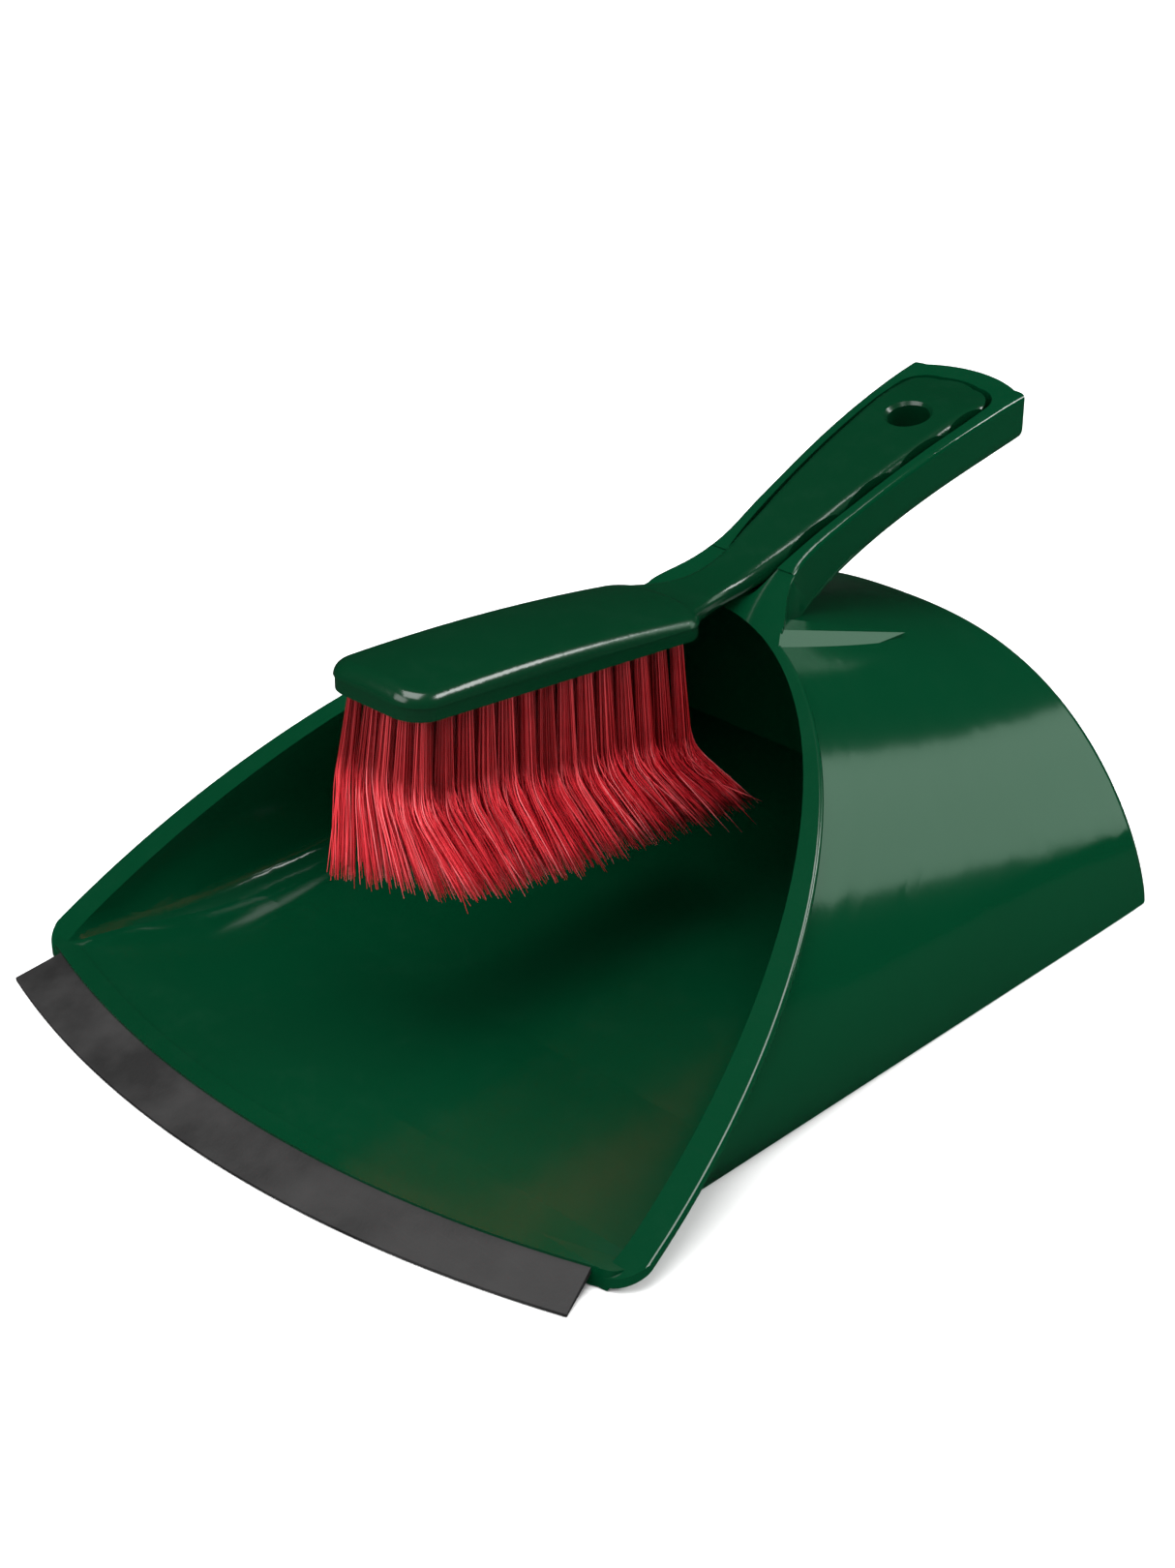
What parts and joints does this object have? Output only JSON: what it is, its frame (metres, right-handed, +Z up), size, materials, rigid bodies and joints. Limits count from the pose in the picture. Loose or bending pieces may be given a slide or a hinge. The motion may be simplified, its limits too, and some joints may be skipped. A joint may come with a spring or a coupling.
{
  "type": "dust pan and brush set",
  "caption": "Hooded dust pan with a soft front lip and a long trough handle that a hand brush with angled bristles nests in.",
  "frame": {"origin": "middle of the flat base that the pan stands on", "axes": "+Z up, -Y towards the front lip, +Y towards the handles, X across the pan"},
  "size_m": [0.2738, 0.365, 0.1555],
  "materials": {
    "pan_plastic": "glossy moulded green",
    "brush_plastic": "glossy moulded dark green",
    "lip_rubber": "matte dark grey",
    "bristle": "satin red filament",
    "anchor_wire": "drawn wire"
  },
  "bodies": {
    "pan": {"pan_body": "pan_plastic", "rubber_lip": "lip_rubber"},
    "brush": {"brush_body": "brush_plastic", "tuft_column_01": "bristle", "tuft_column_02": "bristle", "tuft_column_03": "bristle", "tuft_column_04": "bristle", "tuft_column_05": "bristle", "tuft_column_06": "bristle", "tuft_column_07": "bristle", "tuft_column_08": "bristle", "tuft_column_09": "bristle", "tuft_column_10": "bristle", "tuft_column_11": "bristle", "tuft_column_12": "bristle", "tuft_column_13": "bristle", "tuft_column_14": "bristle", "anchor_row_1": "anchor_wire", "anchor_row_2": "anchor_wire", "anchor_row_3": "anchor_wire", "anchor_row_4": "anchor_wire", "anchor_row_5": "anchor_wire"}
  },
  "joints": [
    {"name": "brush_lift", "type": "slide", "parent": "pan", "child": "brush", "axis": [0, -0.4695, 0.8829], "range_m": [0, 0.18]}
  ]
}
